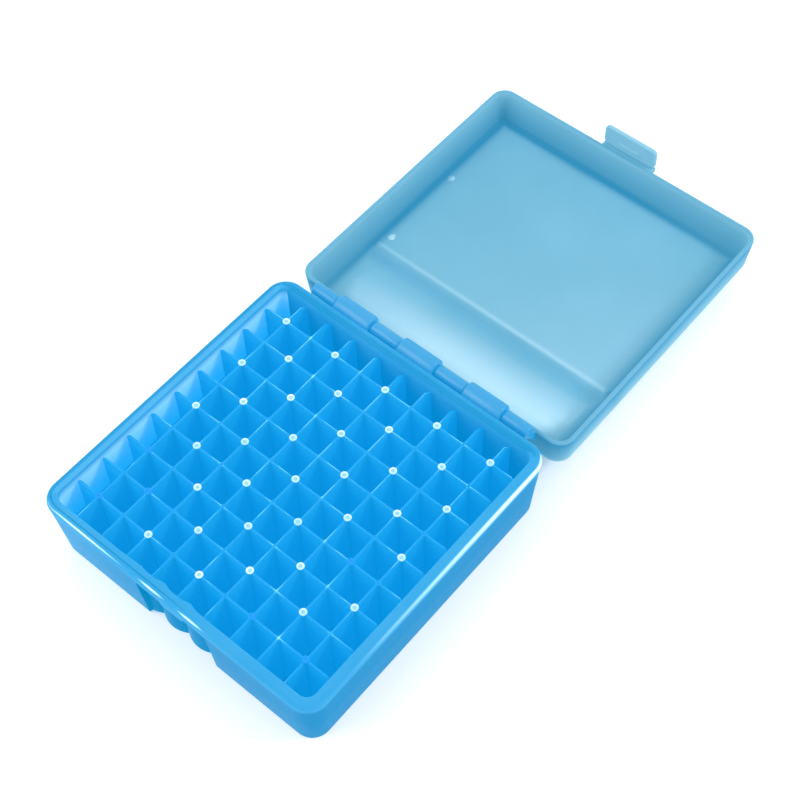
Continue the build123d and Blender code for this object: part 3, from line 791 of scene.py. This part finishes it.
def lid_tone(p):
    """Painted shade on the outer walls. Inside, painted shade lies in the cove round the panel, most of all
    at the far left, and in the band between the trough's middle and the ridge. The ridge carries a painted
    highlight and the half of the trough beside the hinge a painted reflection; the ejector marks are
    paler, the inner walls get a little painted light, and the panel grows slightly paler to the right and
    to the hinge as painted light."""
    x, y, z = p.T
    inset = -rounded_distance(x, y - LID_Y, HALF_X, LID_HALF_Y, LID_CORNER)
    inner_face = inset > LID_WALL * 0.5
    inside = inner_face & (z > PANEL_Z - 1.5 * MM) & (z < LID_RIM_Z - 0.4 * MM)
    wall_inside = inner_face & (z > PANEL_Z + COVE)
    trough = step(-rounded_distance(x, y - TROUGH_Y, *TROUGH_HALF, TROUGH_CORNER) / (7 * MM))
    near = 1 - step((y - LID_BACK - 12 * MM) / (20 * MM))
    near = near * (0.5 + 0.5 * step((x + 55 * MM) / (50 * MM)))
    far_left = 0.25 * step((y - LID_Y - x) / (60 * MM))
    # painted shade in the cove and the band, painted highlight on the ridge, painted light growing to the
    # right and the hinge, painted reflection in the trough beside the hinge
    cove = -(0.75 + far_left) * bump(inset, low_inset + 0.8 * COVE, 2.6 * MM)
    band = -0.35 * bump(y, RIDGE_Y - 5 * MM, 4 * MM)
    ridge = 0.2 * bump(y, RIDGE_Y, 1.5 * MM)
    slope = 0.08 * (x / HALF_X - (y - LID_Y) / LID_HALF_Y)
    panel = np.minimum(cove, band) + ridge * (inset > 8 * MM) + slope + 0.42 * trough * near
    for mark_x, mark_y in EJECTOR_MARKS:
        panel = panel + 0.45 * (np.hypot(x - mark_x, y - mark_y) < MARK_RADIUS)
    # painted shade on the outer walls, less on the rim's top
    outer = np.where(z < LID_RIM_Z - 0.6 * MM, -1.0, -0.25)
    outer = np.where(inset > 4 * MM, 0.0, outer)
    return np.where(inside, np.where(wall_inside, 0.1, panel), outer)


def spaced(low, high, centre, half, *dense):
    """Knots for metres low..high about centre: even 6 mm spacing plus 0.5 mm spacing over dense spans."""
    places = [np.linspace(low, high, int((high - low) / (6 * MM)) + 1)]
    for a, b in dense:
        places.append(np.arange(max(a, low), min(b, high), 0.5 * MM))
    every = np.unique(np.round(np.concatenate(places), 6))
    keep = np.concatenate([[True], np.diff(every) > 0.2 * MM])
    return (every[keep] - centre) / half


panel_corner = lid_sections[0][2]
span_x = HALF_X - low_inset - COVE - panel_corner
span_y = LID_HALF_Y - low_inset - COVE - panel_corner
lid_kx = spaced(-span_x, span_x, 0, span_x, (-span_x, -45 * MM), (45 * MM, span_x))
lid_ky = spaced(
    LID_Y - span_y, LID_Y + span_y, LID_Y, span_y,
    (TROUGH_Y - 19 * MM, TROUGH_Y - 12 * MM), (TROUGH_Y + 4 * MM, TROUGH_Y + 23 * MM),
    (LID_Y + span_y - 8 * MM, LID_Y + span_y), *[(y - 2 * MM, y + 2 * MM) for _, y in EJECTOR_MARKS],
)
lid_shell = shell(
    "lid_shell", knots(lid_kx), knots(lid_ky), lid_sections, LID_CORE, LID_Y, panel_relief, tone=lid_tone,
)
lid_nodes = ["lid_panel"] + [f"lid_wall_{wall}" for wall in ("front", "rear", "left", "right")]
lid_nodes += [f"lid_corner_{corner}" for corner in CORNERS]
finish_piece(lid_shell, LID_BLUE, "lid", lid_nodes)

# ---- latch ----
root_low, root_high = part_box("latch_root")
tab_low, tab_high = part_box("latch_tab")
rib_low, rib_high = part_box("latch_rib")


def tab_plate():
    """Plate with its four corners turned at 2.3 mm and its edge rounded; the snap rib is a swelling
    of the inner face, height times (1 - t^2)^2 across and fading at its ends."""
    corner, edge = 2.3 * MM, 0.45 * MM
    half_rib, rib_fade = 1.1 * MM, 1.0 * MM
    half_x = (tab_high.x - tab_low.x) / 2
    half_z = (tab_high.z - tab_low.z) / 2
    middle = (tab_high.z + tab_low.z) / 2
    core = (half_x - corner, half_z - corner)
    gx, gz = np.meshgrid(knots(np.linspace(-1, 1, 41), 6), knots(np.linspace(-1, 1, 31), 6), indexing="ij")

    skins = []
    near, far = tab_low.y, tab_high.y
    for inset, y in ((edge, near), (0.0, near + edge), (0.0, far - edge), (edge, far)):
        x, z = rounded(gx, gz, half_x - inset, half_z - inset, corner - inset, *core)
        skins.append(np.stack([x, np.full_like(x, y), z + middle], -1))
    rib_middle = (rib_low.z + rib_high.z) / 2
    across = np.clip(np.abs(skins[0][..., 2] - rib_middle) / half_rib, 0, 1)
    fade = step((rib_high.x - np.abs(skins[0][..., 0])) / rib_fade)
    skins[0][..., 1] -= (tab_low.y - rib_low.y) * (1 - across**2) ** 2 * fade

    nx, nz = gx.shape
    ids = np.arange(nx * nz).reshape(nx, nz)
    rim = np.concatenate([ids[:-1, 0], ids[-1, :-1], ids[:0:-1, -1], ids[0, :0:-1]])
    front, back = skins[0].reshape(-1, 3), skins[3].reshape(-1, 3)
    loops = np.concatenate([skins[1].reshape(-1, 3)[rim], skins[2].reshape(-1, 3)[rim]])
    n, m = len(front), len(rim)
    a = np.arange(m)
    b = (a + 1) % m
    faces = grid_faces(nx, nz) + grid_faces(2, m, start=n, wrap_columns=True)
    faces += grid_faces(nx, nz, start=n + 2 * m)
    faces += np.stack([rim[a], rim[b], n + b, n + a], 1).tolist()
    faces += np.stack([n + m + a, n + m + b, n + 2 * m + rim[b], n + 2 * m + rim[a]], 1).tolist()
    points = np.concatenate([front, loops, back])
    return mesh_piece("latch_plate", points, faces, tone=np.full(len(points), 0.12))


finish_piece(tab_plate(), LID_BLUE, "latch", ["latch_tab", "latch_rib"])
root = rounded_box(
    "latch_shoulder", (root_low.x, LID_FRONT - 0.9 * MM, root_low.z + 1.0 * MM),
    (root_high.x, root_high.y, root_high.z), 0.5 * MM,
)
finish_piece(root, LID_BLUE, "lid", ["latch_root"])
STRIP_INSET = 2.5 * MM          # from the ends of the tab
STRIP_HALF = 0.55 * MM          # half its thickness
STRIP_GRIP = 1.2 * MM           # its reach into the shoulder and into the tab
bend_y = LATCH_AXIS[1]
strip = rounded_box(
    "latch_bending_strip", (tab_low.x + STRIP_INSET, bend_y - STRIP_HALF, root_high.z - STRIP_GRIP),
    (tab_high.x - STRIP_INSET, bend_y + STRIP_HALF, tab_low.z + STRIP_GRIP), 0.3 * MM,
)
strip.data.materials.append(LID_BLUE)
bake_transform(strip)

# ---- floor, light and camera ----
bpy.ops.mesh.primitive_plane_add(size=6, location=(0, 0, -0.02 * MM))
floor = bpy.context.object
floor.name = "studio_floor"
paper = bpy.data.materials.new("studio_paper")
paper.use_nodes = True
paper_inputs = paper.node_tree.nodes["Principled BSDF"].inputs
paper_inputs["Base Color"].default_value = (0.93, 0.93, 0.92, 1)
paper_inputs["Roughness"].default_value = 0.9
paper_inputs["Emission Color"].default_value = (1, 1, 1, 1)
paper_inputs["Emission Strength"].default_value = 0.18
floor.data.materials.append(paper)

world = bpy.data.worlds.new("studio_sky")
bpy.context.scene.world = world
world.use_nodes = True
world.node_tree.nodes["Background"].inputs["Color"].default_value = (1, 1, 1, 1)
world.node_tree.nodes["Background"].inputs["Strength"].default_value = 0.9


def aim(thing, place, forward, side):
    """Stands a lamp or camera at place, looking along forward with its own x as near to side as can be."""
    bpy.context.scene.collection.objects.link(thing)
    forward = forward / np.linalg.norm(forward)
    side = side - forward * side.dot(forward)
    side /= np.linalg.norm(side)
    turn = np.array([side, np.cross(side, forward), -forward]).T
    thing.matrix_world = Matrix.Translation(place) @ Matrix(turn.tolist()).to_4x4()


def softbox(name, place, target, size, power):
    """Square lamp that looks from place at target."""
    lamp = bpy.data.lights.new(name, "AREA")
    lamp.shape = "SQUARE"
    lamp.size = size
    lamp.energy = power
    forward = np.subtract(target, place)
    aim(bpy.data.objects.new(name, lamp), place, forward, np.cross(forward, (0, 0, 1)))


softbox("softbox_front", (-0.55, -0.6, 0.9), (0, 0.08, 0), 0.8, 5.0)
softbox("strip_right", (0.60, 0.46, 0.68), (0, 0.05, 0), 0.2, 3.0)

CAMERA_PLACE = (0.2371, -0.2045, 0.5577)
CAMERA_FORWARD = np.array([-0.3650, 0.4100, -0.8360])
CAMERA_RIGHT = np.array([0.7653, 0.6440, -0.0181])
camera_data = bpy.data.cameras.new("camera")
camera_data.lens = 71.44
camera_data.sensor_width = 36.0
camera_data.clip_start = 0.01
camera = bpy.data.objects.new("camera", camera_data)
aim(camera, CAMERA_PLACE, CAMERA_FORWARD, CAMERA_RIGHT)
bpy.context.scene.camera = camera
bpy.context.scene.view_settings.view_transform = "Standard"
